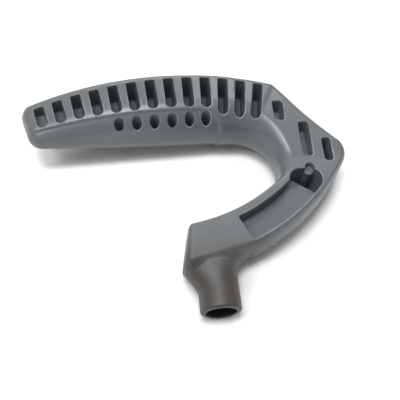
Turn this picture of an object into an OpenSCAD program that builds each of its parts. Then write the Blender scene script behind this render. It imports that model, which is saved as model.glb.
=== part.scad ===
// Recoil starter handle: a hooked grip moulded in one piece.
// The moulding is drawn straight along Z from its parting plane, which is z = 0.
// The origin is the centre of the bore's mouth, where the rope leaves towards -Y.

/* [Grip] */
// Thickness of the grip at the fullest point of its swell
grip_t = 27.4; // [25:0.2:30]
// Radius of the swell along the grip, seen from the side
swell_r = 262; // [240:2:320]
// Height of the palm edge's crest above the bore's mouth
palm_y = 95.5; // [94:0.5:98]
// Radius of the palm edge from the crest to the tip
palm_r = 235; // [220:5:260]
// Radius of the palm edge from the crest to the shoulder
shoulder_r = 144; // [130:2:160]
// How far the palm edge stands above its arc at the tip
palm_lift = 1.35; // [0:0.05:1.5]
// Angle of the palm edge that the tip ends at
tip_angle = 16.7; // [15.5:0.1:17.5]
// Height of the finger side above the bore's mouth
finger_y = 72; // [70:0.5:73]
// Rounding of the tip
tip_round = 4; // [3:0.5:5]
// Rounding of the palm edge
palm_round = 3.6; // [2.5:0.1:4.5]
// Share of the grip's depth that the finger side's roundness takes
finger_share = 0.45; // [0.35:0.01:0.5]
// Depth of the finger pad below the slotted band
pad_depth = 0.7; // [0.4:0.1:1]

/* [Slots] */
// Number of long slots along the palm
slot_n = 13; // [9:1:13]
// Distance from slot to slot along the palm edge
slot_pitch = 7.45; // [7:0.05:7.5]
// Width of a long slot
slot_w = 4.2; // [3:0.1:4.6]
// Wall between the slots' ends and the palm edge
slot_wall = 2.8; // [2:0.1:3.5]
// Thickness of the web that the slots stop at
web_t = 2.2; // [1.5:0.1:3.5]
// Number of round pockets in the finger pad
dot_n = 6; // [3:1:6]
// Diameter of the round pockets
dot_d = 3.9; // [3:0.1:4.3]

/* [Bend] */
// Hollow of the straight edge from the shoulder to the elbow
shoulder_hollow = 0.7; // [0:0.1:1.5]
// Radius of the bend on the finger side
bend_r = 16.7; // [15:0.1:18]
// Width of the slots in the bend
bend_slot_w = 4.1; // [3:0.1:4.6]

/* [Arm] */
// Thickness of the lower arm
arm_t = 17; // [16.2:0.2:18.4]
// Radius of the arm's finger side
arm_in_r = 70.75; // [69.75:0.25:71.5]
// Width of the arm across its curve
arm_w = 16.75; // [16:0.25:18.25]
// Crown of the arm's outer side
arm_crown = 2.4; // [1:0.1:3]
// Wall between the rope pocket and the arm's finger side
pocket_wall = 3.3; // [2.5:0.1:4.5]
// Wall between the rope pocket and the arm's outer side
pocket_lip = 3; // [2.6:0.1:4]
// Depth of the rope pocket down to its shelf
shelf_depth = 6.2; // [4.5:0.1:6.8]
// Wall behind the well at the pocket's end
well_back = 3.2; // [2:0.1:5]
// Diameter of the anchor peg
peg_d = 3.9; // [3:0.1:4.5]
// Depth of the peg's top below the face
peg_drop = 2.5; // [1:0.1:4]

/* [Stem] */
// Outer diameter of the stem
stem_d = 14.8; // [13.6:0.1:16]
// Diameter of the bore in the stem
bore_d = 11; // [9:0.1:11.4]
// Depth of the bore
bore_depth = 21; // [16:0.5:24]
// Diameter of the rope's hole from the bore to the pocket
rope_hole_d = 4.6; // [3:0.1:4.8]
// Rounding of the stem's lip
lip_round = 1.1; // [0.5:0.1:1.4]

/* [Hidden] */
$fn = 48;
crest = [-3, palm_y];
shoulder = [31.2, 91.4];
bend_c = [12.3, finger_y - bend_r];
hook = [bend_c.x + bend_r, bend_c.y - 5.335];
hook_turn = -46.166;
arm_c = hook - arm_in_r * [cos(hook_turn), sin(hook_turn)];
arm_out_r = arm_in_r + arm_w;
elbow_turn = -27.15;
elbow_out = 0.6;
elbow = arm_c + (arm_out_r + elbow_out) * [cos(elbow_turn), sin(elbow_turn)];
arm_top = -34.5;
arm_from = -50.5;
arm_end = -83.2;
end_round = 2.6;
end_lean = 1.45;
end_turn = end_round / (arm_in_r + arm_w / 2) * 180 / PI;
arm_edge = 0.8;
arm_half = arm_t / 2;
grip_half = grip_t / 2;
web_half = web_t / 2;
tip_s = -palm_r * tip_angle * PI / 180;
pad_end_s = 13.2;
pad_round = 8;
reach = 20;

// Curves in plan
function turn(a) = [cos(a), sin(a)];
function mix(a, b, t) = a + (b - a) * t;
function ease(t) = (1 - cos(180 * min(1, max(0, t)))) / 2;
function arc(c, r, a, b, n) = [for (i = [0 : n - 1]) c + r * turn(mix(a, b, i / (n - 1)))];
// The arc of radius r that rounds the corner k between p and q
function corner_arc(p, k, q, r, n) = let (u = (p - k) / norm(p - k), v = (q - k) / norm(q - k),
    half = acos(u * v) / 2, c = k + (u + v) / norm(u + v) * r / sin(half),
    a = k + u * r / tan(half) - c, b = k + v * r / tan(half) - c,
    turned = atan2(a.x * b.y - a.y * b.x, a * b))
    [for (i = [0 : n - 1]) c + r * turn(atan2(a.y, a.x) + turned * i / (n - 1))];
// A value that passes by smooth steps from key to key of a table
function smooth(x, table, i = 0) = i >= len(table) - 1 ? table[i][1]
    : x < table[i + 1][0] ? mix(table[i][1], table[i + 1][1],
        ease((x - table[i][0]) / (table[i + 1][0] - table[i][0])))
    : smooth(x, table, i + 1);

// The palm edge at a distance s from its crest, and the finger side opposite it
function palm_turn(s) = 90 - s / (s < 0 ? palm_r : shoulder_r) * 180 / PI;
function lift(s) = s < 0 ? palm_lift * sin(90 * min(1, s / tip_s)) : 0;
function palm(s, inset = 0) = let (r = s < 0 ? palm_r : shoulder_r)
    crest + [0, -r] + (r + lift(s) - inset) * turn(palm_turn(s));
function swell(s) = grip_half - swell_r + sqrt(swell_r * swell_r - s * s);
function finger_line(x) = finger_y + 0.027 * min(0, x - bend_c.x);
function finger(s) = let (p = palm(s), d = turn(palm_turn(s)), t = (p.y - finger_line(p.x)) / d.y)
    [p.x - d.x * t, finger_line(p.x - d.x * t)];
// The edge of the recessed finger pad
pad_end_x = finger(pad_end_s).x;
function pad_y(x) = finger_y + 6.3 - (x + 8) * (x + 8) * 0.00105;
function pad_edge(f) = pad_y(f.x) - f.y - (f.x < pad_end_x - pad_round ? 0
    : pad_round - sqrt(max(0, pad_round * pad_round - pow(f.x - pad_end_x + pad_round, 2))));

// A station of the loft: outer point, inner point, half thickness, width and height of the outer
// rounding, width and height of the inner rounding, depth of the pad, distance of the pad's edge
shoulder_s = 18;
function finger_round(s) = norm(palm(s) - finger(s)) * finger_share;
function grip_station(s, inset = 0) = let (d = turn(palm_turn(s)), f = finger(s), half = swell(s) - inset)
    [palm(s, inset), f + d * inset, half, palm_round, min(palm_round, half - 0.3),
     finger_round(s), half - 0.3, s < pad_end_s ? pad_depth : 0,
     s < pad_end_s ? max(1.6, pad_edge(f) - inset) : smooth(s, [[pad_end_s, 1.6], [shoulder_s, 4.5]])];
tip_stations = [for (a = [90 : -18 : 18])
    grip_station(tip_s + tip_round * (1 - sin(a)), tip_round * (1 - cos(a)))];
grip_stations = [for (s = concat(
    [for (i = [0 : 22]) mix(tip_s + tip_round, pad_end_s - 0.15, i / 22)],
    [pad_end_s + 0.15, mix(pad_end_s, shoulder_s, 0.5), shoulder_s])) grip_station(s)];

// Beyond the grip an outer and an inner curve are paired point by point
outer_curve = concat(
    [for (i = [1 : 5]) palm(mix(shoulder_s, 30, i / 5))],
    corner_arc(palm(27), shoulder, elbow, 3.5, 3),
    [for (i = [1 : 9]) mix(shoulder, elbow, 0.09 + 0.76 * i / 10)
        - shoulder_hollow * sin(18 * i) * turn(41.6)],
    corner_arc(shoulder, elbow, arm_c + arm_out_r * turn(-33), 6.5, 7),
    arc(arm_c, arm_out_r, arm_top, arm_from + 2.5, 6),
    arc(arm_c, arm_out_r, arm_from, arm_end + end_turn - end_lean, 15));
inner_curve = concat(
    arc(bend_c, bend_r, 86, 2, 23),
    corner_arc(hook + [0, 5], hook, arm_c + arm_in_r * turn(hook_turn - 3), 7, 7),
    arc(arm_c, arm_in_r, arm_from, arm_end + end_turn + end_lean, 15));
function bend_station(i) = let (half = smooth(i, [[-4, swell(shoulder_s)], [24, arm_half]]))
    [outer_curve[i], inner_curve[i], half,
     smooth(i, [[16, palm_round], [27, arm_crown]]),
     smooth(i, [[16, palm_round], [27, arm_half - 0.3]]),
     smooth(i, [[0, finger_round(shoulder_s)], [18, 5.5], [33, arm_edge]]),
     smooth(i, [[0, half - 0.3], [12, half - 0.3], [33, arm_edge]]), 0,
     smooth(i, [[0, 4.5], [18, 2.7], [33, arm_edge / 2]])];
bend_stations = [for (i = [0 : len(outer_curve) - 1]) bend_station(i)];

// The arm's closed end
end_stations = [for (a = [18 : 18 : 90]) let (inset = end_round * (1 - cos(a)), half = arm_half - inset,
    turned = arm_end + end_turn * (1 - sin(a)))
    [arm_c + (arm_out_r - inset) * turn(turned - end_lean),
     arm_c + (arm_in_r + inset) * turn(turned + end_lean), half, arm_crown, half - 0.3,
     arm_edge, arm_edge, 0, arm_edge / 2]];

// The points of one station, first above the parting plane and then mirrored below it. From the palm
// side: the outer rounding, the inner rounding down to the pad's edge, and the rest set in by the pad
outer_rows = 4;
upper_rows = 4;
lower_rows = 5;
function half_ring(st) = let (wide = norm(st[0] - st[1]), half = st[2], pad = st[7], edge = st[8],
    low = edge - min(0.35, edge * 0.4), high_a = acos(1 - edge / st[5]),
    in_w = st[5] - pad, in_h = st[6] - pad, low_a = acos(1 - (low - pad) / in_w))
    concat(
        [for (i = [0 : outer_rows], a = [90 * i / outer_rows])
            [wide - st[3] * (1 - cos(a)), half - st[4] * (1 - sin(a))]],
        [for (i = [0 : upper_rows], a = [mix(90, high_a, i / upper_rows)])
            [st[5] * (1 - cos(a)), half - st[6] * (1 - sin(a))]],
        [for (i = [0 : lower_rows], a = [low_a * (1 - i / lower_rows)])
            [pad + in_w * (1 - cos(a)), half - pad - in_h * (1 - sin(a))]]);
function place(st, q) = let (d = (st[0] - st[1]) / norm(st[0] - st[1]))
    [st[1].x + d.x * q.x, st[1].y + d.y * q.x, q.y];
function ring(st) = let (h = half_ring(st), n = len(h))
    concat([for (q = h) place(st, q)], [for (i = [n - 1 : -1 : 0]) place(st, [h[i].x, -h[i].y])]);

module loft(stations) {
    rings = [for (st = stations) ring(st)];
    m = len(rings[0]);
    n = len(rings);
    polyhedron(
        points = [for (r = rings) each r],
        faces = concat(
            [for (j = [0 : m / 2 - 2]) [j, j + 1, m - 2 - j, m - 1 - j]],
            [for (i = [0 : n - 2], j = [0 : m - 1])
                [(i + 1) * m + j, (i + 1) * m + (j + 1) % m, i * m + (j + 1) % m, i * m + j]],
            [for (j = [0 : m / 2 - 2], k = [(n - 1) * m])
                [k + m - 1 - j, k + m - 2 - j, k + j + 1, k + j]]),
        convexity = 8);
}

// The outside of grip, bend and arm
module body() {
    loft(concat(tip_stations, grip_stations, bend_stations, end_stations));
}

// The stem with its rounded lip
stem_long = 22;
module stem() {
    r = stem_d / 2;
    rotate([-90, 0, 0])
        rotate_extrude() {
            translate([0, lip_round])
                square([r, stem_long - lip_round]);
            square([r - lip_round, lip_round + 1]);
            translate([r - lip_round, lip_round])
                circle(lip_round);
        }
}

// The flare by which the stem grows out of the arm, leaning towards the arm's closed end
flare_from = 6.5;
flare_to = 14.4;
flare_long = 9;
flare_lean = 2;
flare_spread = [1.28, 1, 1.06];
module flare() {
    hull() {
        translate([0.1 * flare_lean, flare_from, 0])
            rotate([-90, 0, 0])
                cylinder(r = stem_d / 2 - 0.5, h = 0.5, $fn = 32);
        translate([-0.9 * flare_lean, flare_to, 0])
            scale(flare_spread)
                rotate([-90, 0, 0])
                    cylinder(r = stem_d / 2, h = flare_long, $fn = 32);
    }
}

// What cuts the same from the front and from the back
module both_sides() {
    children();
    mirror([0, 0, 1])
        children();
}

// The long slots along the palm, each square towards the palm and round towards the finger pad
slot_first = -1.8 - 8 * slot_pitch;
function slot_foot(x) = x < pad_end_x ? pad_y(x) + 0.6 : finger_y + 4.3 - 0.14 * (x - 8.5);
module palm_slots() {
    for (i = [0 : slot_n - 1]) {
        s = slot_first + i * slot_pitch;
        d = turn(palm_turn(s));
        top = palm(s, slot_wall + lift(s));
        low = slot_foot(finger(s).x + d.x * 5);
        long = (top.y - low) / d.y - slot_w / 2;
        translate([top.x, top.y, web_half])
            rotate([0, 0, palm_turn(s) - 90])
                linear_extrude(height = reach) {
                    translate([-slot_w / 2, -long])
                        square([slot_w, long]);
                    translate([0, -long])
                        circle(d = slot_w);
                }
    }
}

// The round pockets in the finger pad, in line with the slots
dot_first = 4;
dot_in = 4.1;
dot_web_half = web_half + 0.6;
module round_pockets() {
    for (i = [0 : dot_n - 1]) {
        s = slot_first + (dot_first + i) * slot_pitch;
        p = finger(s) + dot_in * turn(palm_turn(s));
        translate([p.x, p.y, dot_web_half])
            cylinder(d = dot_d, h = reach);
    }
}

// The slots in the bend: middle, width, length and level of the floor. The first is placed from the
// bend's round wall, the others by their share of the way from the bend to the elbow
slot_corner = 1.2;
function bend_share(t, up) = [mix(bend_c.x + bend_r, elbow.x, t), elbow.y + up];
shoulder_slot = [bend_c + (bend_r + 12.36) * turn(49.95), bend_slot_w + 0.3, 8.7, 4];
middle_slot = [bend_share(0.383, 4.15), bend_slot_w + 0.1, 14.9, 3.2];
elbow_slot = [bend_share(0.66, -0.65), bend_slot_w - 0.5, 9.9, -4.5];
module bend_slot(slot) {
    w = slot[1];
    long = slot[2];
    translate([slot[0].x - w / 2, slot[0].y - long / 2, slot[3]])
        linear_extrude(height = reach)
            difference() {
                square([w, long]);
                for (u = [0, 1], v = [0, 1])
                    translate([u * w, v * long])
                        rotate([0, 0, 90 * (u + v) + 90 * v * (1 - 2 * u)])
                            difference() {
                                square(slot_corner);
                                translate([slot_corner, slot_corner])
                                    circle(slot_corner);
                            }
            }
}

// The rope pocket in plan: a stretch of the arm's curve that ends in two corner circles
pocket_first = -66.8;
pocket_last = -42;
cap_r = 4.5;
cap = arm_c + (arm_out_r - pocket_lip - cap_r) * turn(pocket_last);
cap_w = 3.9;
sector_r = arm_out_r + reach;
module arm_sector(first, last) {
    intersection() {
        translate(arm_c)
            difference() {
                circle(arm_out_r - pocket_lip);
                circle(arm_in_r + pocket_wall);
            }
        polygon([arm_c, arm_c + sector_r * turn(first), arm_c + sector_r * turn(last)]);
    }
}
module pocket_plan() {
    arm_sector(pocket_first, pocket_last);
    for (x = [0, cap_w])
        translate([cap.x - x, cap.y])
            circle(cap_r);
    translate([cap.x - cap_w, cap.y])
        square([cap_w, cap_r]);
}

// The pocket down to its shelf, and the well beyond the shelf, whose edge leans from the arm's radius
shelf_turn = pocket_last - 0.5;
shelf_lean = 7;
module rope_pocket() {
    translate([0, 0, arm_half - shelf_depth])
        linear_extrude(height = reach)
            pocket_plan();
    translate([0, 0, well_back - arm_half])
        linear_extrude(height = reach)
            intersection() {
                pocket_plan();
                translate(arm_c + (arm_out_r - pocket_lip) * turn(shelf_turn))
                    rotate([0, 0, shelf_turn + shelf_lean])
                        translate([-reach, 0])
                            square([2 * reach, reach]);
            }
}

// The hollow behind the shelf
module back_pocket() {
    mirror([0, 0, 1])
        translate([0, 0, arm_half - shelf_depth])
            linear_extrude(height = reach)
                arm_sector(pocket_first, pocket_last - 4.5);
}

// The anchor peg stands half in the pocket's end wall, and the wall is cut away above it
peg = [cap.x + 0.4, cap.y + cap_r + 0.3];
module peg_cylinder(from, to) {
    translate([peg.x, peg.y, from])
        cylinder(d = peg_d, h = to - from);
}

// The bore, and the hole that leads the rope from it into the pocket
hole_mid = arm_c + (arm_in_r + arm_out_r + pocket_wall - pocket_lip) / 2 * turn(pocket_first);
hole_z = arm_half - shelf_depth + rope_hole_d / 2 + 0.2;
module rope_way() {
    run = [hole_mid.x, hole_mid.y - bore_depth + 2, hole_z];
    translate([0, -1, 0])
        rotate([-90, 0, 0])
            cylinder(d = bore_d, h = bore_depth + 1);
    translate([0, bore_depth - 2, 0])
        rotate([0, acos(run.z / norm(run)), atan2(run.y, run.x)])
            cylinder(d = rope_hole_d, h = norm(run) + 2.5);
}

module handle() {
    color([0.33, 0.35, 0.36]) {
        difference() {
            union() {
                body();
                stem();
                flare();
            }
            both_sides() {
                palm_slots();
                round_pockets();
                bend_slot(shoulder_slot);
                bend_slot(middle_slot);
            }
            bend_slot(elbow_slot);
            rope_pocket();
            back_pocket();
            peg_cylinder(arm_half - peg_drop, reach);
            rope_way();
        }
        peg_cylinder(well_back - arm_half - 0.5, arm_half - peg_drop);
    }
}

handle();
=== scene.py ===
import math

import bpy
import numpy as np
from mathutils import Matrix, Vector
from mathutils.geometry import delaunay_2d_cdt


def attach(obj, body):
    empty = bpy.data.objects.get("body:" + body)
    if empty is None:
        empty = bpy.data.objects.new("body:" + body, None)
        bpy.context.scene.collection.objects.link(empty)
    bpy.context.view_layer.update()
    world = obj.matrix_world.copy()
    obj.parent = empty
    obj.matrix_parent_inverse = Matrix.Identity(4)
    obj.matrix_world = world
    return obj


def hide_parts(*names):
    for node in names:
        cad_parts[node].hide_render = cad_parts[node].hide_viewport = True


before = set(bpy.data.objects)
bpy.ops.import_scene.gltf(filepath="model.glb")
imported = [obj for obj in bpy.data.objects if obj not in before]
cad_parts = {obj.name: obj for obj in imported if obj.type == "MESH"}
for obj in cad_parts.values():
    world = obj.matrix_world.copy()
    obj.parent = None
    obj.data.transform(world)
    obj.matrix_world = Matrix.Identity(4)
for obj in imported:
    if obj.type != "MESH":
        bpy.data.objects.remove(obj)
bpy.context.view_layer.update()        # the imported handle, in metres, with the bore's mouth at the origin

mm = 0.001


# small helpers on arrays of points in plan, all in mm and degrees

def turn(a):
    # the direction at angle a
    a = np.radians(a)
    return np.stack([np.cos(a), np.sin(a)], -1)


def arc(c, r, a, b, n):
    # n points on the arc of radius r about c, from angle a to angle b
    return np.asarray(c, float) + r * turn(np.linspace(a, b, n))


def line(p, q, n):
    # n points from p to q, with p and without q
    t = np.arange(n)[:, None] / n
    return np.asarray(p, float) * (1 - t) + np.asarray(q, float) * t


def bow(p, q, n, depth):
    # the same, standing out to the left of its way by depth at the middle
    d = (np.asarray(q) - p) / np.linalg.norm(np.asarray(q) - p)
    return line(p, q, n) + np.array([-d[1], d[0]]) * depth * np.sin(np.pi * np.arange(n) / n)[:, None]


def ease(t):
    # 0 to 1 along half a cosine wave
    return (1 - np.cos(np.pi * np.clip(t, 0, 1))) / 2


def smoothTable(x, keys, values):
    # a value that passes by half cosine waves from key to key
    x, out = np.asarray(x, float), np.full(np.shape(x), float(values[0]))
    for k in range(len(keys) - 1):
        share = ease((x - keys[k]) / (keys[k + 1] - keys[k]))
        out = np.where(x >= keys[k], values[k] + (values[k + 1] - values[k]) * share, out)
    return out


def cornerArc(p, k, q, r, n):
    # the arc of radius r that rounds the corner k between p and q
    p, k, q = np.array(p, float), np.array(k, float), np.array(q, float)
    u, v = (p - k) / np.linalg.norm(p - k), (q - k) / np.linalg.norm(q - k)
    half = np.arccos(u @ v) / 2
    c = k + (u + v) / np.linalg.norm(u + v) * r / np.sin(half)
    a, b = k + u * r / np.tan(half) - c, k + v * r / np.tan(half) - c
    start = np.degrees(np.arctan2(a[1], a[0]))
    turned = np.degrees(np.arctan2(a[0] * b[1] - a[1] * b[0], a @ b))
    return arc(c, r, start, start + turned, n)


def throughPoints(p, fine):
    # a smooth cubic through the rows of p, with fine steps between neighbours
    p = np.asarray(p, float)
    q = np.concatenate([2 * p[:1] - p[1:2], p, 2 * p[-1:] - p[-2:-1]])
    t = (np.arange(fine) / fine)[None, :, None]
    a, b, c, d = (q[i:len(q) - 3 + i, None] for i in range(4))
    mid = 2 * b + (c - a) * t + (2 * a - 5 * b + 4 * c - d) * t ** 2 + (3 * b - a - 3 * c + d) * t ** 3
    mid = 0.5 * mid
    return np.concatenate([mid.reshape(-1, p.shape[1]), p[-1:]])


def insidePolygon(points, loop):
    # even-odd test of many points against one closed loop
    inside = np.zeros(len(points), bool)
    nextLoop = np.roll(loop, -1, 0)
    for (ax, ay), (bx, by) in zip(loop, nextLoop):
        if ay != by:
            crosses = (ay > points[:, 1]) != (by > points[:, 1])
            inside ^= crosses & (points[:, 0] < (bx - ax) * (points[:, 1] - ay) / (by - ay) + ax)
    return inside


# the moulding's stations: an outer point, an inner point and the section between them

moulding = {
    "gripHalf": 13.695, "swellRadius": 262.0,
    "crest": (-3.0, 95.497), "palmRadius": 235.0, "shoulderRadius": 144.0, "palmLift": 1.35,
    "tipAngle": 16.7, "tipRound": 4.0, "palmRound": 3.6,
    "fingerY": 72.0, "fingerSlope": 0.027, "fingerShare": 0.45,
    "padDepth": 0.7, "padEnd": 13.2, "padRound": 8.0, "padFade": 0.8,
    "shoulder": (31.2, 91.4), "elbow": (58.38, 60.8), "shoulderHollow": 0.7,
    "bendCentre": (12.3, 55.3), "bendRadius": 16.7,
    "armCentre": (-20.0, 101.0), "armInner": 70.75, "armOuter": 87.5, "armHalf": 8.5,
    "armCrown": 2.4, "stemCrown": 4.6, "armEdge": 0.8, "armEnd": -83.2, "endRound": 2.6, "endLean": 1.45,
}


def palmTurn(m, s):
    return 90 - np.degrees(s / np.where(s < 0, m["palmRadius"], m["shoulderRadius"]))


def palmPoint(m, s, inset=0.0, lifted=True):
    # the palm edge at a distance s from its crest, set in by inset
    s = np.asarray(s, float)
    r = np.where(s < 0, m["palmRadius"], m["shoulderRadius"])
    tip = -m["palmRadius"] * math.radians(m["tipAngle"])
    lift = np.where(s < 0, m["palmLift"] * np.sin(np.pi / 2 * np.minimum(1, s / tip)), 0) * lifted
    centre = np.stack([np.full(s.shape, m["crest"][0]), m["crest"][1] - r], -1)
    return centre + (r + lift - inset)[..., None] * turn(palmTurn(m, s))


def fingerPoint(m, s):
    # the finger side's line, met by the ray from the palm edge at s
    p, d = palmPoint(m, s), turn(palmTurn(m, s))
    slope, x0 = m["fingerSlope"], m["bendCentre"][0]
    t = (p[..., 1] - m["fingerY"] - slope * (p[..., 0] - x0)) / (d[..., 1] - slope * d[..., 0])
    level = (p[..., 1] - m["fingerY"]) / d[..., 1]
    t = np.where(p[..., 0] - d[..., 0] * t < x0, t, level)
    return p - d * t[..., None]


def padEdge(m, x):
    # height of the pad's edge above the bore's mouth, at x along the grip
    x1 = fingerPoint(m, np.array(m["padEnd"]))[0]
    r = m["padRound"]
    down = np.where(x < x1 - r, 0, r - np.sqrt(np.maximum(0, r * r - (x - x1 + r) ** 2)))
    return m["fingerY"] + 6.3 - (x + 8) ** 2 * 0.00105 - down


def gripStations(m, s, inset):
    d, f, p = turn(palmTurn(m, s)), fingerPoint(m, s), palmPoint(m, s)
    half = m["gripHalf"] - m["swellRadius"] + np.sqrt(m["swellRadius"] ** 2 - s * s) - inset
    depth = np.linalg.norm(p - f, axis=1)
    innerW = np.minimum(depth * m["fingerShare"], depth - 2 * inset - m["palmRound"] - 0.4)
    onPad = s < m["padEnd"]
    pad = m["padDepth"] * (1 - ease(1 - (m["padEnd"] - s) / m["padFade"]))
    edge = np.where(onPad, np.maximum(1.6, padEdge(m, f[:, 0]) - f[:, 1] - inset), 4.5)
    return np.column_stack([p - d * inset[:, None], f + d * inset[:, None], half,
                            np.full(len(s), m["palmRound"]), np.minimum(m["palmRound"], half - 0.3),
                            innerW, half - 0.3, pad, edge])


def bendCurves(m):
    # the outer and the inner curve from the shoulder to the arm's end, paired point by point
    armC, outR, inR = np.array(m["armCentre"]), m["armOuter"], m["armInner"]
    bend, shoulder, elbow = np.array(m["bendCentre"]), np.array(m["shoulder"]), np.array(m["elbow"])
    endTurn = math.degrees(m["endRound"] / (inR + outR) * 2)
    hookTurn = -math.degrees(math.acos((bend[0] + m["bendRadius"] - armC[0]) / inR))
    hook = armC + inR * turn(hookTurn)
    share = np.arange(1, 10)[:, None] / 10
    straight = shoulder + (elbow - shoulder) * (0.09 + 0.76 * share)
    straight -= m["shoulderHollow"] * np.sin(np.pi * share) * turn(41.6)
    outer = np.concatenate([
        palmPoint(m, 18 + 12 * np.arange(1, 6) / 5), cornerArc(palmPoint(m, 27.0), shoulder, elbow, 3.5, 3),
        straight, cornerArc(shoulder, elbow, armC + outR * turn(-33), 6.5, 7),
        arc(armC, outR, -34.5, -48, 6), arc(armC, outR, -50.5, m["armEnd"] + endTurn - m["endLean"], 15)])
    inner = np.concatenate([
        arc(bend, m["bendRadius"], 86, 2, 23),
        cornerArc(hook + [0, 5], hook, armC + inR * turn(hookTurn - 3), 7, 7),
        arc(armC, inR, -50.5, m["armEnd"] + endTurn + m["endLean"], 15)])
    return outer, inner, endTurn


def allStations(m):
    tip = -m["palmRadius"] * math.radians(m["tipAngle"])
    a = np.radians(np.linspace(90, 9, 10))
    r = m["tipRound"]
    tipPart = gripStations(m, tip + r * (1 - np.sin(a)), r * (1 - np.cos(a)))
    fade = np.linspace(m["padEnd"] - m["padFade"], m["padEnd"], 7)
    s = np.concatenate([np.linspace(tip + r, fade[0] - 0.4, 96), fade, np.linspace(m["padEnd"] + 0.3, 18, 7)])
    grip = gripStations(m, s, np.zeros(len(s)))
    fine = 4
    outer, inner, endTurn = bendCurves(m)
    outer = throughPoints(np.concatenate([palmPoint(m, np.array([18.0])), outer]), fine)[1:]
    inner = throughPoints(np.concatenate([fingerPoint(m, np.array([18.0])), inner]), fine)[1:]
    i = np.arange(1, len(outer) + 1) / fine - 1
    halfAt18, edge = grip[-1, 4], m["armEdge"]
    half = smoothTable(i, [-4, 24], [halfAt18, m["armHalf"]])
    bend = np.column_stack([
        outer, inner, half,
        smoothTable(i, [16, 27, 35, 40], [m["palmRound"], m["armCrown"], m["armCrown"], m["stemCrown"]]),
        smoothTable(i, [16, 27], [m["palmRound"], m["armHalf"] - 0.3]),
        smoothTable(i, [0, 18, 33], [grip[-1, 7], 5.5, edge]),
        np.where(i < 12, half - 0.3, smoothTable(i, [12, 33], [half[48] - 0.3, edge])),
        np.zeros(len(i)), smoothTable(i, [0, 18, 33], [4.5, 2.7, edge / 2])])
    a = np.linspace(9, 90, 10)
    inset = m["endRound"] * (1 - np.cos(np.radians(a)))
    turned = m["armEnd"] + endTurn * (1 - np.sin(np.radians(a)))
    armC, ones = np.array(m["armCentre"]), np.ones(len(a))
    end = np.column_stack([
        armC + (m["armOuter"] - inset)[:, None] * turn(turned - m["endLean"]),
        armC + (m["armInner"] + inset)[:, None] * turn(turned + m["endLean"]),
        m["armHalf"] - inset, m["stemCrown"] * ones, m["armHalf"] - inset - 0.3,
        edge * ones, edge * ones, 0 * ones, edge / 2 * ones])
    return np.concatenate([tipPart, grip, bend, end])


def findStations(stations, points):
    # each point's section, mixed from the two stations that it lies between, and its place across it
    out, across = np.zeros((len(points), stations.shape[1])), np.zeros(len(points))
    o, i = stations[:, 0:2], stations[:, 2:4]
    wide = np.linalg.norm(o - i, axis=1)
    d = (o - i) / wide[:, None]
    for block in np.array_split(np.arange(len(points)), max(1, len(points) // 4000)):
        rel = points[block][:, None] - i[None]
        side = d[None, :, 0] * rel[..., 1] - d[None, :, 1] * rel[..., 0]
        q = (rel * d[None]).sum(-1)
        beyond = np.maximum(np.maximum(-q, q - wide), 0)
        between = (side[:, :-1] <= 0) & (side[:, 1:] > 0)
        score = np.where(between, np.minimum(beyond[:, :-1], beyond[:, 1:]), 1e3 + np.abs(side[:, :-1]))
        k = score.argmin(1)
        n = np.arange(len(block))
        a, b = side[n, k], side[n, k + 1]
        t = np.clip(np.where(np.abs(a - b) > 1e-9, a / np.where(a == b, 1, a - b), 0), 0, 1)
        out[block] = stations[k] * (1 - t[:, None]) + stations[k + 1] * t[:, None]
        mixed = out[block]
        axis = mixed[:, 0:2] - mixed[:, 2:4]
        axis /= np.linalg.norm(axis, axis=1)[:, None]
        across[block] = ((points[block] - mixed[:, 2:4]) * axis).sum(1)
    return out, across


def sectionHeight(st, q):
    # quarter ellipses on the outer and the inner side, the inner one stepped down below the pad's edge
    wide = np.linalg.norm(st[:, 0:2] - st[:, 2:4], axis=1)
    half, outW, outH, inW, inH, pad, edge = st[:, 4:].T
    outer = half - outH + outH * np.sqrt(1 - np.clip(1 - (wide - q) / outW, 0, 1) ** 2)
    upper = half - inH + inH * np.sqrt(1 - np.clip(1 - q / inW, 0, 1) ** 2)
    lower = half - pad - (inH - pad) * (1 - np.sqrt(1 - np.clip(1 - (q - pad) / (inW - pad), 0, 1) ** 2))
    t = np.clip((q - edge + 0.6) / 0.75, 0, 1)
    inner = lower + (upper - lower) * t * t * (3 - 2 * t)
    return np.where(q > wide, outer - (q - wide) * 9, outer + inner - half)


stem = {
    "radius": 7.4, "boreRadius": 5.5, "boreDepth": 21.0, "lip": 1.1, "mouthLip": 0.3, "ringAt": 4.0,
    "flareFrom": 7.6, "flareTo": 14.4, "flareWide": 11.3, "filletFrom": 12.6, "filletTo": (13.0, 20.8),
    "flareCurve": 1.15, "filletCurve": 2.4, "blend": 1.3, "lowBlend": 2.6,      # height over which the fillet fades, on top and low down
}


def stemWide(c, y, side):
    # half width of the stem in plan: the flare on the left, the fillet on the right
    up = np.clip((y - c["flareFrom"]) / (c["flareTo"] - c["flareFrom"]), 0, 1)
    left = c["radius"] + (c["flareWide"] - c["radius"]) * up ** c["flareCurve"]
    left = left + np.clip(y - c["flareTo"], 0, 2.5) * 0.3
    x1, y1 = c["filletTo"]
    up = np.clip((y - c["filletFrom"]) / (y1 - c["filletFrom"]), 0, 1)
    right = c["radius"] + (x1 - c["radius"]) * up ** c["filletCurve"]
    return np.where(side < 0, left, right)


def stemHeight(c, p):
    x, y = p[:, 0], p[:, 1]
    w = stemWide(c, y, x)
    high = c["radius"] + 0.5 * ease((y - 8) / 7) - 0.5 * np.maximum(0, y - 17)
    beside = -np.minimum(9.0, (np.abs(x) - w) * 8)
    rounded = high * np.sqrt(np.maximum(0, 1 - (x / w) ** 2))
    return np.where(y >= 26, -9.0, np.where(np.abs(x) <= w, rounded, beside))


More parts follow.
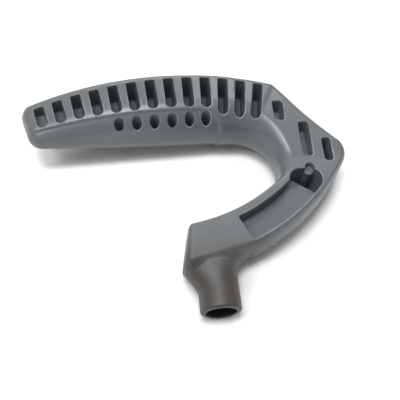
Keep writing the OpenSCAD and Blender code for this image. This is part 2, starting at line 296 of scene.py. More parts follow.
def skinHeight(m, c, stations, p):
    # the higher of moulding and stem, with a soft fillet where they meet
    st, q = findStations(stations, p)
    a, b = sectionHeight(st, q), stemHeight(c, p)
    blend = c["blend"] + c["lowBlend"] * ease((m["armHalf"] - 0.6 - np.maximum(a, b)) / 4)
    return np.maximum(a, b) + np.maximum(blend - np.abs(a - b), 0) ** 2 / (4 * blend)


def skinNormal(m, c, stations, p):
    # the skin's normal from its slopes along x and y
    step = 0.03
    slopes = [(skinHeight(m, c, stations, p + d) - skinHeight(m, c, stations, p - d)) / (2 * step)
              for d in (np.array([step, 0]), np.array([0, step]))]
    n = np.column_stack([-slopes[0], -slopes[1], np.ones(len(p))])
    return n / np.linalg.norm(n, axis=1)[:, None]


# pockets: each has an outline that can be drawn at any offset, and floors at their own levels

pockets = {
    "pitch": 7.45, "first": -61.4, "count": 13, "slotWide": 4.2, "slotWall": 2.8, "web": 1.1,
    "slotCorner": 0.6, "slotTaper": 0.1, "rim": 0.45, "draft": 0.12,
    "dotCount": 6, "dotIn": 4.1, "dotWide": 3.9, "dotWeb": 1.7,
    "bendSlots": [((31.0, 77.55), 4.4, 8.7, 4.0, True), ((40.25, 64.95), 4.2, 14.9, 3.2, True),
                  ((48.4, 60.15), 3.6, 9.9, -4.5, False)],
    "lip": 3.0, "wall": 3.3, "shelfLean": 7.0, "from": -66.8, "to": -42.0, "cap": 4.5, "capWide": 3.9,
    "footCorner": 0.8,
    "shelf": 2.3, "well": -5.3, "peg": 1.95, "pegTop": 6.0,
    "glintTurn": -60.0,                                                      # the side of a rim where the painted highlight is strongest
    "markDown": 1.3, "markAside": 0.8, "markRadius": 0.6, "markHigh": 0.3,      # ejector bumps on the slots' floors
    "pinAt": (14.6, 30.5), "pinRadius": 1.65,                                 # and the shallow disc on the shelf
}


def slotOutline(top, d, wide, long, corner, taper, offset):
    # square end with small corners at top, a little narrower than the round end
    w, r = wide / 2 + offset, corner + offset
    u, n = wide / 2 - corner, 9
    local = np.concatenate([
        arc((u, -corner), r, 0, 90, 5), arc((-u, -corner), r, 90, 180, 5),
        line((-w, -corner), (-w, -long), n)[1:], arc((0, -long), w, 180, 360, 15),
        line((w, -long), (w, -corner), n)[1:]])
    local[:, 0] *= 1 - taper * np.clip(1 + local[:, 1] / long, 0, 1)
    across = np.array([d[1], -d[0]])
    return np.asarray(top) + local[:, :1] * across + local[:, 1:] * d


def boxOutline(c, wide, long, corner, offset):
    w, h, r = wide / 2 - corner, long / 2 - corner, corner + offset
    n = 9
    return np.asarray(c) + np.concatenate([
        arc((w, h), r, 0, 90, 6), arc((-w, h), r, 90, 180, 6), line((-w - r, h), (-w - r, -h), n)[1:],
        arc((-w, -h), r, 180, 270, 6), arc((w, -h), r, 270, 360, 6), line((w + r, -h), (w + r, h), n)[1:]])


def meetCircles(c0, r0, c1, r1, left):
    # the crossing of two circles that lies to the left or right of the way from c0 to c1
    d = np.asarray(c1) - c0
    l = np.linalg.norm(d)
    a = (l * l + r0 * r0 - r1 * r1) / (2 * l)
    h = math.sqrt(max(0, r0 * r0 - a * a)) * (1 if left else -1)
    return c0 + d / l * a + np.array([-d[1], d[0]]) / l * h


def lineMeets(p, u, c, r, side):
    # the crossing of the line through p along u with a circle, on its far or its near side
    d = np.asarray(c) - p
    off = u[0] * d[1] - u[1] * d[0]
    return p + u * (u @ d + side * math.sqrt(r * r - off * off))


def angleOf(c, p):
    return math.degrees(math.atan2(p[1] - c[1], p[0] - c[0]))


def ropePocketParts(m, k, offset):
    # centres and radii that the pocket's outline is made of, and its two corners at the foot
    c = np.array(m["armCentre"])
    outR, inR = m["armOuter"] - k["lip"] + offset, m["armInner"] + k["wall"] - offset
    cap = c + (m["armOuter"] - k["lip"] - k["cap"]) * turn(k["to"])
    capTwo, r = cap - [k["capWide"], 0], k["cap"] + offset
    peg = cap + [0.4, k["cap"] + 0.3]
    start, corner = k["from"] - math.degrees(offset / 79), k["footCorner"] + offset
    lowOut = cornerArc(c + inR * turn(start), c + outR * turn(start), c + outR * turn(start + 5), corner, 5)
    lowIn = cornerArc(c + inR * turn(start + 5), c + inR * turn(start), c + outR * turn(start), corner, 5)
    return c, outR, inR, cap, capTwo, r, peg, lowOut, lowIn


def ropePocketOutline(m, k, offset):
    # the arm's curve between two radii, two corner circles at the end, and the notch above the peg
    c, outR, inR, cap, capTwo, r, peg, lowOut, lowIn = ropePocketParts(m, k, offset)
    pr = k["peg"] + offset
    notch = math.degrees(math.asin((0.3 - offset) / pr))
    right, join = meetCircles(cap, r, peg, pr, False), meetCircles(c, inR, capTwo, r, False)
    return np.concatenate([
        lowOut, arc(c, outR, angleOf(c, lowOut[-1]), k["to"], 22)[1:-1], arc(cap, r, k["to"], angleOf(cap, right), 12),
        arc(peg, pr, angleOf(peg, right), 180 + notch, 17)[1:], (capTwo + [0, r])[None],
        arc(capTwo, r, 90, angleOf(capTwo, join) % 360, 14)[1:],
        arc(c, inR, angleOf(c, join), angleOf(c, lowIn[0]), 22)[1:-1], lowIn])


def ropeFloors(m, k, inside):
    # shelf, well and peg top as closed outlines that keep a small distance from each other
    c, outR, inR, cap, capTwo, r, peg, lowOut, lowIn = ropePocketParts(m, k, -inside)
    edge = k["to"] - 0.5
    along, end = turn(edge + k["shelfLean"]), c + (m["armOuter"] - k["lip"]) * turn(edge)
    aside = np.array([-along[1], along[0]]) * inside / 2
    shelfOut, wellOut = (lineMeets(end + a, along, c, outR, 1) for a in (-aside, aside))
    shelfIn, wellIn = (lineMeets(end + a, along, capTwo, r, -1) for a in (-aside, aside))
    join = meetCircles(c, inR, capTwo, r, False)
    shelf = np.concatenate([
        lowOut, arc(c, outR, angleOf(c, lowOut[-1]), angleOf(c, shelfOut), 20)[1:],
        arc(capTwo, r, angleOf(capTwo, shelfIn), angleOf(capTwo, join) % 360, 7),
        arc(c, inR, angleOf(c, join), angleOf(c, lowIn[0]), 20)[1:-1], lowIn])
    pegR = k["peg"] + inside
    sink = math.degrees(math.asin((0.3 + inside) / pegR))
    right = meetCircles(cap, r, peg, pegR, False)
    well = np.concatenate([
        wellOut[None], arc(cap, r, k["to"], angleOf(cap, right), 12),
        arc(peg, pegR, angleOf(peg, right), sink - 180, 13)[1:],
        arc(capTwo, r, 90, angleOf(capTwo, wellIn), 5)])
    rim, free = 0.25, angleOf(peg, right)
    walled, open_ = np.linspace(free, 188, 15), np.linspace(196, 352 + free, 12)
    radii = np.r_[np.full(15, k["peg"] - inside), np.full(12, k["peg"])]
    top = peg + radii[:, None] * turn(np.r_[walled, open_])
    topIn = peg + (radii - np.r_[np.full(15, 0.02), np.full(12, rim)])[:, None] * turn(np.r_[walled, open_])
    topLevel = np.r_[np.full(15, k["pegTop"]), np.full(12, k["pegTop"] - rim)]
    return [(shelf, k["shelf"]), (well, k["well"]), (top, topLevel), (topIn, k["pegTop"])]


def backPocketOutline(m, k, offset):
    c = np.array(m["armCentre"])
    outR, inR = m["armOuter"] - k["lip"] + offset, m["armInner"] + k["wall"] - offset
    a, b = k["from"] - math.degrees(offset / 79), k["to"] - 4.5 + math.degrees(offset / 79)
    r = 0.8 + offset
    corners = [cornerArc(c + inR * turn(a), c + outR * turn(a), c + outR * turn(a + 5), r, 5),
               cornerArc(c + outR * turn(b - 5), c + outR * turn(b), c + inR * turn(b), r, 5),
               cornerArc(c + outR * turn(b), c + inR * turn(b), c + inR * turn(b - 5), r, 5),
               cornerArc(c + inR * turn(a + 5), c + inR * turn(a), c + outR * turn(a), r, 5)]
    return np.concatenate([
        corners[0], arc(c, outR, angleOf(c, corners[0][-1]), angleOf(c, corners[1][0]), 22)[1:-1], corners[1],
        corners[2], arc(c, inR, angleOf(c, corners[2][-1]), angleOf(c, corners[3][0]), 22)[1:-1], corners[3]])


def listPockets(m, k, front):
    # (outline as a function of the offset, rim radius, floor, marks on the floor)
    found = []
    for i in range(k["count"]):
        s = np.array(k["first"] + i * k["pitch"])
        d, top = turn(palmTurn(m, s)), palmPoint(m, s, k["slotWall"], lifted=False)
        x = fingerPoint(m, s)[0] + d[0] * 5
        padEndX = fingerPoint(m, np.array(m["padEnd"]))[0]
        foot = padEdge(m, x) + 0.6 if x < padEndX else m["fingerY"] + 4.3 - 0.14 * (x - 8.5)
        long = (top[1] - foot) / d[1] - k["slotWide"] / 2
        mark = top - d * k["markDown"] - np.array([d[1], -d[0]]) * k["markAside"]
        found.append((lambda o, a=(top, d, k["slotWide"], long, k["slotCorner"], k["slotTaper"]): slotOutline(*a, o), k["rim"], k["web"],
                      [(arc(mark, k["markRadius"] * r, 0, 330, 12), k["web"] + k["markHigh"] * h)
                       for r, h in ((1, 0), (0.8, 0.6), (0.4, 0.92))] if front else []))
    for i in range(k["dotCount"]):
        s = np.array(k["first"] + (4 + i) * k["pitch"])
        p = fingerPoint(m, s) + turn(palmTurn(m, s)) * k["dotIn"]
        found.append((lambda o, p=p: arc(p, k["dotWide"] / 2 + o, 0, 345, 24), 0.3, k["dotWeb"], []))
    for centre, wide, long, floor, both in k["bendSlots"]:
        if front or both:
            found.append((lambda o, a=(centre, wide, long, 1.2): boxOutline(*a, o), 0.4, floor, []))
    if front:
        found.append((lambda o: ropePocketOutline(m, k, o), 0.35, None,
                      [(arc(k["pinAt"], k["pinRadius"] - r, 0, 345, 24), k["shelf"] - z) for r, z in ((0, 0), (0.15, 0.14))]))
    else:
        found.append((lambda o: backPocketOutline(m, k, o), 0.4, k["shelf"], []))
    return found


def gapTo(p, loop):
    # distance from each point to a closed loop
    a, b = loop, np.roll(loop, -1, 0)
    gap = np.empty(len(p))
    for block in np.array_split(np.arange(len(p)), max(1, len(p) // 1500)):
        rel = p[block][:, None] - a[None]
        t = np.clip((rel * (b - a)).sum(-1) / ((b - a) ** 2).sum(-1), 0, 1)
        gap[block] = np.linalg.norm(rel - t[..., None] * (b - a), axis=-1).min(1)
    return gap


# the skin: one triangulation of the plan for each face, joined along the outline

def planOutline(m, c, stations):
    # palm edge, elbow and arm, down the stem, across it, up the flare, the arm's end, back to the tip
    o, i = stations[:, 0:2], stations[:, 2:4]
    d = (o - i) / np.linalg.norm(o - i, axis=1)[:, None]
    x1, y1 = c["filletTo"]
    along = np.linspace(y1, c["ringAt"], 22)
    onArm = (o[:, 0] > x1 + 0.3) | (np.arange(len(o)) < 200)
    right = np.column_stack([stemWide(c, along, 1), along])
    mouth = arc((0, 0), c["radius"], 0, 180, 37)[1:-1]
    mouth[:, 1] = c["ringAt"]
    up = np.linspace(c["ringAt"], c["flareTo"] + 1.4, 18)
    left = np.column_stack([-stemWide(c, up, -1), up])
    endLine = bow(o[-1], i[-1], 16, 0.1)
    inner = (i + d * stations[:, 9:10])[::-1]
    tipLine = bow(inner[-1], o[0], 9, 0.1)[1:]
    loop = np.concatenate([o[onArm], right, mouth, left, endLine, inner, tipLine])
    n0 = onArm.sum() + len(right) - 1
    return loop, n0, len(mouth) + 2


def rowPoints(m, stations):
    # points in rows along the roundings, the pad's step and the stem
    o, i = stations[:, 0:2], stations[:, 2:4]
    wide = np.linalg.norm(o - i, axis=1)
    d = (o - i) / wide[:, None]
    half, outW, outH, inW, inH, pad, edge = stations[:, 4:].T
    fading = (pad > 0) & (pad < m["padDepth"] - 1e-6)
    atEnds = np.minimum(np.arange(len(wide)), np.arange(len(wide))[::-1]) < 10
    atEnds = atEnds | fading | np.roll(fading, 1) | np.roll(fading, -1)
    rows = [wide - outW * (1 - math.cos(math.radians(a))) for a in (14, 28, 42, 56, 72, 90)]
    rows += [pad + (inW - pad) * (1 - math.cos(math.radians(a))) for a in (12, 24, 36, 48, 60, 72, 90)]
    rows += [np.where(pad > 0, edge + e, np.nan) for e in (0.35, 0.15, 0.02, -0.12, -0.27, -0.42, -0.6, -0.85)]
    rows += [np.where(atEnds, wide * share, np.nan) for share in np.linspace(0.03, 0.97, 24)]
    points = [i + d * q[:, None] for q in rows]
    return np.concatenate([p[~np.isnan(p[:, 0])] for p in points])


def creaseRows(m, c, stations):
    # points in rows beside the line where moulding and stem are equally high
    x, y = np.linspace(-11.5, 13.2, 62), np.arange(11, 24, 0.1)
    p = np.stack(np.meshgrid(x, y, indexing="ij"), -1).reshape(-1, 2)
    st, q = findStations(stations, p)
    higher = (sectionHeight(st, q) > stemHeight(c, p)).reshape(len(x), -1)
    crease = np.column_stack([x, y[higher.argmax(1)]])
    offsets = (-1.5, -1.1, -0.8, -0.5, -0.25, 0, 0.25, 0.5, 0.8, 1.1, 1.5)
    return crease, np.concatenate([crease + [0, off] for off in offsets])


def facePlan(m, c, k, stations, outline, front):
    # every point of one face's plan with its tag: its drop below the skin, or its own level
    loops, heights, isLevel, rims = [outline], [np.zeros(len(outline))], [False], [0]
    keepOut = []
    for draw, rim, floor, marks in listPockets(m, k, front):
        for a in (0, 25, 50, 70, 90):
            loops.append(draw(rim * (1 - math.sin(math.radians(a)))))
            heights.append(np.full(len(loops[-1]), rim * (1 - math.cos(math.radians(a)))))
            isLevel.append(False)
            # each rim loop's share of the painted highlight, strongest halfway round the rounding and on one side of
            # the pocket
            aside = (loops[-1] - loops[-1].mean(0)) @ turn(k["glintTurn"])
            rims.append(math.sin(math.radians(2 * a)) * (0.2 + 0.8 * ease((aside / aside.max() + 0.9) / 1.5)))
        keepOut.append(draw(rim + 0.22))
        floors = ropeFloors(m, k, k["draft"]) if floor is None else [(draw(-k["draft"]), floor)]
        for loop, level in floors + marks:
            loops.append(loop)
            heights.append(np.broadcast_to(level, len(loop)))
            isLevel.append(True)
            rims.append(0)
    x0, y0 = outline.min(0)
    x1, y1 = outline.max(0)
    step = 0.95
    gx, gy = np.meshgrid(np.arange(x0, x1, step), np.arange(y0, y1, step * 0.866))
    gx = gx + (np.arange(len(gx)) % 2)[:, None] * step / 2
    grid = np.column_stack([gx.ravel(), gy.ravel()])
    up = np.arange(c["ringAt"] + 0.7, 17, 0.8)
    stemRows = np.concatenate([np.column_stack([side * stemWide(c, up, side) * math.cos(math.radians(a)), up])
                               for side in (-1, 1) for a in (5, 10, 16, 24, 34, 46, 60, 75)])
    fx, fy = np.meshgrid(np.arange(-12.5, 14.5, 0.5), np.arange(11.5, 23, 0.5))
    fillet = np.column_stack([(fx + (np.arange(len(fx)) % 2)[:, None] / 4).ravel(), fy.ravel()])
    rows = np.concatenate([rowPoints(m, stations), stemRows])
    crease, creaseSide = creaseRows(m, c, stations)
    loopPoints = np.concatenate(loops)

    def clean(p, taken, near):
        p = p[insidePolygon(p, outline)]
        p = p[gapTo(p, outline) > near + 0.03]
        for hole in keepOut:
            box = (np.abs(p - hole.mean(0)) < np.ptp(hole, axis=0) + 1).all(1)
            drop = np.zeros(len(p), bool)
            drop[box] = insidePolygon(p[box], hole)
            p = p[~drop]
        gap = np.full(len(p), 9.0)
        for block in np.array_split(np.arange(len(p)), max(1, len(p) // 1500)):
            gap[block] = np.sqrt(((p[block][:, None] - taken[None]) ** 2).sum(-1).min(1))
        return p[gap > near]

    rows = clean(rows, loopPoints, 0.09)
    _, first = np.unique(np.round(rows / 0.05), axis=0, return_index=True)
    rows = rows[np.sort(first)]
    rows = np.concatenate([rows[gapTo(rows, crease) > 1.6], clean(creaseSide, loopPoints, 0.12)])
    rows = np.concatenate([rows, clean(fillet, np.concatenate([loopPoints, rows]), 0.25)])
    grid = clean(grid, np.concatenate([loopPoints, rows]), 0.5)
    return loops, heights, isLevel, rims, np.concatenate([rows, grid])


def triangulate(outline, loops, free):
    # constrained Delaunay triangles inside the outline
    points = np.concatenate(loops + [free])
    edges, start = [], 0
    for loop in loops:
        n = np.arange(len(loop))
        edges += np.column_stack([start + n, start + (n + 1) % len(loop)]).tolist()
        start += len(loop)
    out = delaunay_2d_cdt([Vector(p) for p in points], edges, [], 0, 1e-7)
    placed = np.array([tuple(v) for v in out[0]])
    faces = np.array([f for f in out[2] if len(f) == 3])
    faces = faces[insidePolygon(placed[faces].mean(1), outline)]
    a, b, cc = placed[faces[:, 0]], placed[faces[:, 1]], placed[faces[:, 2]]
    area = (b[:, 0] - a[:, 0]) * (cc[:, 1] - a[:, 1]) - (b[:, 1] - a[:, 1]) * (cc[:, 0] - a[:, 0])
    faces[area < 0] = faces[area < 0][:, ::-1]
    origin = np.array([o[0] if len(o) else -1 for o in out[3]])
    return placed, faces, origin


def buildSkin(m, c, k):
    stations = allStations(m)
    outline, ringStart, ringCount = planOutline(m, c, stations)
    n = len(outline)
    border = skinHeight(m, c, stations, outline)
    ring = slice(ringStart, ringStart + ringCount)
    border[ring] = np.sqrt(np.maximum(0, c["radius"] ** 2 - outline[ring, 0] ** 2))
    border = np.where(border < 0.12, 0, border)
    along = np.roll(outline, -1, 0) - np.roll(outline, 1, 0)
    outward = np.column_stack([-along[:, 1], along[:, 0], np.zeros(n)]) / np.linalg.norm(along, axis=1)[:, None]
    outward[ring] = np.column_stack([outline[ring, 0], np.zeros(ringCount), border[ring]]) / c["radius"]
    parts, faces, normals, wearAndRimGlint, offset = [], [], [], [], 0
    for front in (True, False):
        loops, heights, isLevel, rims, free = facePlan(m, c, k, stations, outline, front)
        placed, tri, origin = triangulate(outline, loops, free)
        tag = np.concatenate([h for h in heights] + [np.zeros(len(free))])
        level = np.concatenate([np.full(len(h), l) for h, l in zip(heights, isLevel)] + [np.zeros(len(free), bool)])
        rim = np.concatenate([np.zeros(len(h)) + r for h, r in zip(heights, rims)] + [np.zeros(len(free))])
        z = skinHeight(m, c, stations, placed)
        known = origin >= 0
        z[known] = np.where(level[origin[known]], tag[origin[known]], z[known] - tag[origin[known]])
        onBorder = known & (origin < n)
        z[onBorder] = border[origin[onBorder]]
        onSkin = ~known | (known & ~level[np.maximum(origin, 0)] & (tag[np.maximum(origin, 0)] == 0))
        normal = np.zeros((len(placed), 3))
        normal[onSkin] = skinNormal(m, c, stations, placed[onSkin])
        normal[onBorder] = outward[origin[onBorder]]
        borderIndex = np.full(n, -1)
        borderIndex[origin[onBorder]] = np.nonzero(onBorder)[0]
        sign = 1 if front else -1
        parts.append(np.column_stack([placed, z * sign]))
        normals.append(normal * [1, 1, sign])
        # each point's share of the rims' painted highlight; the roughness noise in the plastic shares this name
        wearAndRimGlint.append(np.where(known, rim[np.maximum(origin, 0)], 0))
        faces.append((tri if front else tri[:, ::-1]) + offset)
        if front:
            frontBorder = borderIndex
        else:
            backBorder = borderIndex + offset
        offset += len(placed)
    verts, tris = np.concatenate(parts), np.concatenate(faces)
    # front and back share the border's points where the skin comes down to the parting plane
    remap = np.arange(len(verts))
    flat = border == 0
    remap[backBorder[flat]] = frontBorder[flat]
    tris = remap[tris]
    backBorder = remap[backBorder]
    i, j = np.arange(n), (np.arange(n) + 1) % n
    keep = ~((i >= ringStart) & (i < ringStart + ringCount - 1))
    i, j = i[keep], j[keep]
    band = np.concatenate([np.column_stack([frontBorder[i], backBorder[i], backBorder[j]]),
                           np.column_stack([frontBorder[i], backBorder[j], frontBorder[j]])])
    band = band[:, ::-1]                 # the outline runs clockwise
    normals, wearAndRimGlint = np.concatenate(normals), np.concatenate(wearAndRimGlint)
    return verts, normals, wearAndRimGlint, tris, band, frontBorder, backBorder, (ringStart, ringCount)


def stemEnd(c, ring):
    # rings of the profile from the stem's side round the lip and up the bore, all on the ring's angles
    r, b, lip, inner = c["radius"], c["boreRadius"], c["lip"], c["mouthLip"]
    a = np.radians(np.arange(0, 91, 15))
    profile = [(r, lip + 0.4)]
    profile += [(r - lip + lip * math.cos(t), lip - lip * math.sin(t)) for t in a]
    profile += [(b + inner - inner * math.sin(t), inner - inner * math.cos(t)) for t in a]
    profile += [(b, inner + 0.4), (b, c["boreDepth"] - 0.9), (b, c["boreDepth"] - 0.5), (b - 0.15, c["boreDepth"] - 0.15),
                (b - 0.5, c["boreDepth"]), (b * 0.5, c["boreDepth"])]
    profile = np.array(profile)
    around = ring[:, [0, 2]] / r
    return np.stack([profile[:, :1] * around[None, :, 0], np.repeat(profile[:, 1:], len(ring), 1),
                     profile[:, :1] * around[None, :, 1]], -1)


def makeHandle(m, c, k, material):
    verts, normals, wearAndRimGlint, tris, band, frontBorder, backBorder, (start, count) = buildSkin(m, c, k)
    span = np.arange(start, start + count)
    loop = np.concatenate([frontBorder[span], backBorder[span][::-1][1:-1]])
    rings = stemEnd(c, verts[loop])
    n = len(loop)
    base = len(verts)
    verts = np.concatenate([verts, rings.reshape(-1, 3), [[0, c["boreDepth"], 0]]])
    normals = np.concatenate([normals, np.zeros((len(verts) - base, 3))])
    wearAndRimGlint = np.concatenate([wearAndRimGlint, np.zeros(len(verts) - base)])
    index = np.concatenate([loop[None], base + np.arange(len(rings) * n).reshape(-1, n)])
    a, b = index[:-1], index[1:]
    quads = np.stack([a, np.roll(a, -1, 1), np.roll(b, -1, 1), b], -1).reshape(-1, 4)
    last = index[-1]
    tip = np.column_stack([last, np.roll(last, -1), np.full(n, len(verts) - 1)])
    allTris = np.concatenate([tris, band, quads[:, [0, 1, 2]], quads[:, [0, 2, 3]], tip])
    distinct = (allTris != np.roll(allTris, 1, 1)).all(1)
    allTris = allTris[distinct]
    used, inverse = np.unique(allTris, return_inverse=True)
    allTris = inverse.reshape(-1, 3)
    mesh = bpy.data.meshes.new("handleSkin")
    mesh.from_pydata((verts[used] * mm).tolist(), [], allTris.tolist())
    # the rims' painted highlight share, which the plastic's colour reads
    mesh.attributes.new("rimGlintShare", "FLOAT", "POINT").data.foreach_set("value", wearAndRimGlint[used].astype(np.float32))
    mesh.shade_smooth()
    mesh.set_sharp_from_angle(angle=math.radians(38))
    obj = bpy.data.objects.new("handleSkin", mesh)
    bpy.context.scene.collection.objects.link(obj)
    # corners on the skin take the formula's normal, the rest keep what their faces give
    corner, at = np.empty(len(mesh.loops) * 3), np.empty(len(mesh.loops), int)
    mesh.corner_normals.foreach_get("vector", corner)
    mesh.loops.foreach_get("vertex_index", at)
    corner, given = corner.reshape(-1, 3), normals[used][at]
    known = np.abs(given).sum(1) > 0.5
    corner[known] = given[known]
    mesh.normals_split_custom_set(corner.tolist())
    mesh.materials.append(material)
    e = np.sort(np.concatenate([allTris[:, [0, 1]], allTris[:, [1, 2]], allTris[:, [2, 0]]]), axis=1)
    _, times = np.unique(e, axis=0, return_counts=True)
    print("handle skin:", len(allTris), "triangles, edges not shared by two:", int((times != 2).sum()))
    return obj


# materials

def newNode(tree, kind, inputs=None, **settings):
    # one shader node with its settings and the values of its named inputs
    node = tree.nodes.new(kind)
    for name, value in settings.items():
        setattr(node, name, value)
    for name, value in (inputs or {}).items():
        node.inputs[name].default_value = value
    return node


def mathNode(tree, operation, a, b=None, clamp=False):
    # one Math node on sockets or plain numbers, and its result
    node = newNode(tree, "ShaderNodeMath", operation=operation, use_clamp=clamp)
    for socket, value in zip(node.inputs, (a, b)):
        if hasattr(value, "links"):
            tree.links.new(value, socket)
        elif value is not None:
            socket.default_value = value
    return node.outputs[0]


def noise(tree, place, scale, detail=3.0, rough=0.5):
    node = newNode(tree, "ShaderNodeTexNoise", {"Scale": scale, "Detail": detail, "Roughness": rough})
    tree.links.new(place, node.inputs["Vector"])
    return node.outputs["Fac"]


def ramp(tree, value, low, high):
    # 0 below low, 1 above high, smooth between
    node = newNode(tree, "ShaderNodeMapRange", {"From Min": low, "From Max": high}, interpolation_type="SMOOTHSTEP")
    tree.links.new(value, node.inputs["Value"])
    return node.outputs["Result"]


def mixColour(tree, share, a, b):
    node = newNode(tree, "ShaderNodeMix", data_type="RGBA")
    for socket, value in ((node.inputs["Factor"], share), (node.inputs["A"], a), (node.inputs["B"], b)):
        if hasattr(value, "links"):
            tree.links.new(value, socket)
        else:
            socket.default_value = value
    return node.outputs["Result"]


# the pale rim colour is a painted highlight on the pocket rims
plastic = {
    "body": (0.125, 0.136, 0.144, 1), "cloudy": (0.108, 0.119, 0.128, 1),
    "stem": (0.050, 0.045, 0.041, 1), "bore": (0.018, 0.017, 0.015, 1),
    "dust": (0.30, 0.31, 0.32, 1), "rimGlint": (0.42, 0.46, 0.48, 1), "rough": 0.33, "roughMore": 0.12, "stemRough": 0.16, "grainDepth": 0.00003,
}


def makePlastic(c):
    material = bpy.data.materials.new("mouldedPlastic")
    material.use_nodes = True
    tree = material.node_tree
    links = tree.links
    shader = tree.nodes["Principled BSDF"]
    place = newNode(tree, "ShaderNodeTexCoord").outputs["Object"]
    apart = newNode(tree, "ShaderNodeSeparateXYZ")
    links.new(place, apart.inputs[0])
    # broad clouding of the colour, then the browner stem below the flare
    cloud = ramp(tree, noise(tree, place, 45, 4), 0.35, 0.65)
    colour = mixColour(tree, cloud, c["cloudy"], c["body"])
    wander = mathNode(tree, "MULTIPLY_ADD", noise(tree, place, 90, 2), 0.006)
    links.new(apart.outputs["Y"], wander.node.inputs[2])
    low = ramp(tree, wander, 0.014, 0.036)
    colour = mixColour(tree, low, c["stem"], colour)
    # the bore is darker, by the distance from its axis
    across = newNode(tree, "ShaderNodeVectorMath", operation="MULTIPLY")
    across.inputs[1].default_value = (1, 0, 1)
    links.new(place, across.inputs[0])
    away = newNode(tree, "ShaderNodeVectorMath", operation="LENGTH")
    links.new(across.outputs[0], away.inputs[0])
    inBore = mathNode(tree, "MULTIPLY", mathNode(tree, "LESS_THAN", away.outputs["Value"], 0.00565),
                   mathNode(tree, "LESS_THAN", apart.outputs["Y"], 0.0215))
    colour = mixColour(tree, inBore, colour, c["bore"])
    # a few pale specks of dust
    cell = newNode(tree, "ShaderNodeTexVoronoi", {"Scale": 260.0, "Randomness": 1.0})
    links.new(place, cell.inputs["Vector"])
    few = ramp(tree, noise(tree, place, 130, 1), 0.53, 0.61)
    spot = mathNode(tree, "SUBTRACT", 1.0, ramp(tree, cell.outputs["Distance"], 0.035, 0.09))
    speck = mathNode(tree, "MULTIPLY", spot, few)
    colour = mixColour(tree, mathNode(tree, "MULTIPLY", speck, 0.65), colour, c["dust"])
    # painted highlight: pocket rims lightened in patches, strongest on one side, standing in for the glint of light on
    # their roundings
    rim = newNode(tree, "ShaderNodeAttribute", attribute_name="rimGlintShare").outputs["Fac"]
    patchy = mathNode(tree, "MULTIPLY_ADD", ramp(tree, noise(tree, place, 170, 2), 0.40, 0.62), 0.55)
    patchy.node.inputs[2].default_value = 0.2
    colour = mixColour(tree, mathNode(tree, "MULTIPLY", rim, patchy), colour, c["rimGlint"])
    links.new(colour, shader.inputs["Base Color"])
    # satin gloss that varies a little with handling
    wearAndRimGlint = noise(tree, place, 160, 5, 0.65)
    rough = mathNode(tree, "MULTIPLY_ADD", wearAndRimGlint, c["roughMore"])
    rough.node.inputs[2].default_value = c["rough"] - c["roughMore"] / 2
    dull = mathNode(tree, "MULTIPLY", mathNode(tree, "SUBTRACT", 1.0, low), c["stemRough"])
    links.new(mathNode(tree, "ADD", rough, dull), shader.inputs["Roughness"])
    grain = noise(tree, place, 2600, 2)
    wave = noise(tree, place, 120, 1)
    height = mathNode(tree, "MULTIPLY_ADD", wave, 1.6)
    links.new(grain, height.node.inputs[2])
    bump = newNode(tree, "ShaderNodeBump", {"Strength": 0.5, "Distance": c["grainDepth"]})
    links.new(height, bump.inputs["Height"])
    links.new(bump.outputs["Normal"], shader.inputs["Normal"])
    return material


handle = makeHandle(moulding, stem, pockets, makePlastic(plastic))
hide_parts("handle")
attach(handle, "root")

# floor: a pale sheet under the lying handle

floorSettings = {
    "size": 3.0, "level": (-7.313, 0.0424, -0.0787),      # mm at the origin, and its rise along x and y
    "seen": (0.98, 0.98, 0.98, 1), "bounce": (0.90, 0.90, 0.90, 1),
}


def makeFloor(c):
    z0, alongX, alongY = c["level"]
    half = c["size"] / 2
    corners = np.array([(-half, -half), (half, -half), (half, half), (-half, half)])
    z = z0 * mm + corners @ np.array([alongX, alongY])
    mesh = bpy.data.meshes.new("floor")
    mesh.from_pydata(np.column_stack([corners, z]).tolist(), [], [(0, 1, 2, 3)])
    material = bpy.data.materials.new("paleFloor")
    material.use_nodes = True
    tree = material.node_tree
    shader = tree.nodes["Principled BSDF"]
    shader.inputs["Roughness"].default_value = 0.9
    shader.inputs["Specular IOR Level"].default_value = 0.1
    # white where the camera or a reflection looks at it, pale as a source of bounced light
    path = newNode(tree, "ShaderNodeLightPath").outputs
    seen = mathNode(tree, "MAXIMUM", path["Is Camera Ray"], path["Is Glossy Ray"])
    seen = mathNode(tree, "MAXIMUM", seen, path["Is Transmission Ray"])
    tree.links.new(mixColour(tree, seen, c["bounce"], c["seen"]), shader.inputs["Base Color"])
    mesh.materials.append(material)
    obj = bpy.data.objects.new("floor", mesh)
    bpy.context.scene.collection.objects.link(obj)
    return obj


makeFloor(floorSettings)


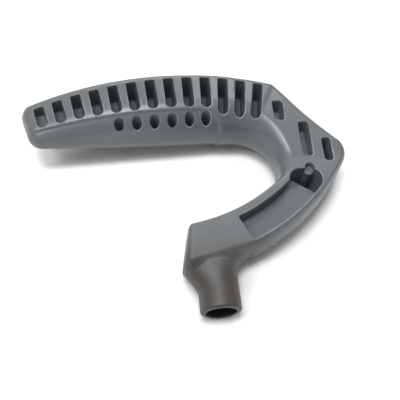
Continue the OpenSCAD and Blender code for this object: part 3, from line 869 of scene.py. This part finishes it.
def addArea(name, direction, distance, widths, power, target):
    # an oval soft lamp, longer along X, that looks at the target
    light = bpy.data.lights.new(name, "AREA")
    light.shape, light.energy = "ELLIPSE", power
    light.size, light.size_y = widths
    obj = bpy.data.objects.new(name, light)
    back = Vector(direction).normalized()
    side = Vector((1, 0, 0))
    side = (side - back * side.dot(back)).normalized()
    axes = Matrix((side, back.cross(side), back)).transposed()
    obj.matrix_world = Matrix.Translation(Vector(target) + back * distance) @ axes.to_4x4()
    bpy.context.scene.collection.objects.link(obj)


lamps = {   # direction from the handle, distance and two widths in metres, power
    "topSoftbox": ((-0.18, 0.05, 0.98), 0.9, (0.44, 0.22), 5.3),
    "leftSoftbox": ((-0.58, -0.06, 0.81), 0.9, (0.3, 0.3), 2.1),
    "backSoftbox": ((0.28, 0.65, 0.70), 0.95, (0.32, 0.21), 1.7),
    "rimSoftbox": ((0.0, 0.88, 0.47), 0.95, (0.7, 0.25), 2.4),
}
for name, lamp in lamps.items():
    addArea(name, *lamp, (0, 0.055, 0))
world = bpy.data.worlds.new("studio")
bpy.context.scene.world = world
world.use_nodes = True
world.node_tree.nodes["Background"].inputs["Color"].default_value = (1, 1, 1, 1)
world.node_tree.nodes["Background"].inputs["Strength"].default_value = 0.33
bpy.context.scene.view_settings.view_transform = "Standard"

# camera: looks down on the face of the lying handle, from the stem's side

cameraSettings = {
    "eye": (-34.37, -59.47, 201.09),      # mm, from the origin at the bore's mouth
    "target": (-2.87, 44.60, 0.0),        # mm, where the middle of the picture falls
    "rollDegrees": 6.707,
    "lensMm": 54.0,                       # with a 36 mm sensor
}


def makeCamera(c):
    eye = Vector(c["eye"]) * mm
    forward = (Vector(c["target"]) * mm - eye).normalized()
    up = Vector((0, 1, 0))
    up = (up - forward * up.dot(forward)).normalized()
    right = forward.cross(up)
    roll = math.radians(c["rollDegrees"])
    upTurned = up * math.cos(roll) + right * math.sin(roll)
    rightTurned = forward.cross(upTurned)
    data = bpy.data.cameras.new("photoCamera")
    data.lens, data.sensor_width = c["lensMm"], 36.0
    data.clip_start = 0.01
    camera = bpy.data.objects.new("photoCamera", data)
    axes = Matrix((rightTurned, upTurned, -forward)).transposed()
    camera.matrix_world = Matrix.Translation(eye) @ axes.to_4x4()
    bpy.context.scene.collection.objects.link(camera)
    bpy.context.scene.camera = camera
    return camera


makeCamera(cameraSettings)
print("camera placed")
